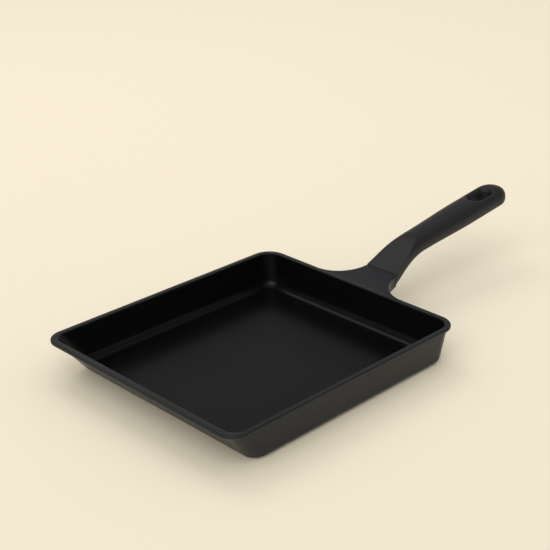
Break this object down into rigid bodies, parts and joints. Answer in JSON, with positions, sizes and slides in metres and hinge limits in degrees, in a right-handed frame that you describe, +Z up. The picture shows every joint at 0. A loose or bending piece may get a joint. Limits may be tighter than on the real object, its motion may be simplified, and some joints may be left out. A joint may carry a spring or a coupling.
{
  "type": "tamagoyaki pan",
  "caption": "Rectangular rolled-omelette pan: a shallow cast tray with a sloping front wall, a beaded rim and a flared bracket that carries an angled moulded handle with an oval hanging hole.",
  "frame": {"origin": "centre of the flat base, on the surface the pan stands on", "axes": "+Z up out of the tray, +Y from the sloping front wall towards the handle, +X to the right"},
  "size_m": [0.2, 0.4169, 0.0677],
  "materials": {
    "coated_casting": "cast aluminium under a dark grey satin coating, with black non-stick inside",
    "handle_resin": "matte charcoal phenolic moulding",
    "screw_steel": "zinc-plated steel"
  },
  "bodies": {
    "root": {"pan_body": "coated_casting", "handle": "handle_resin", "handle_screw": "screw_steel", "spring_washer": "screw_steel"}
  },
  "joints": []
}
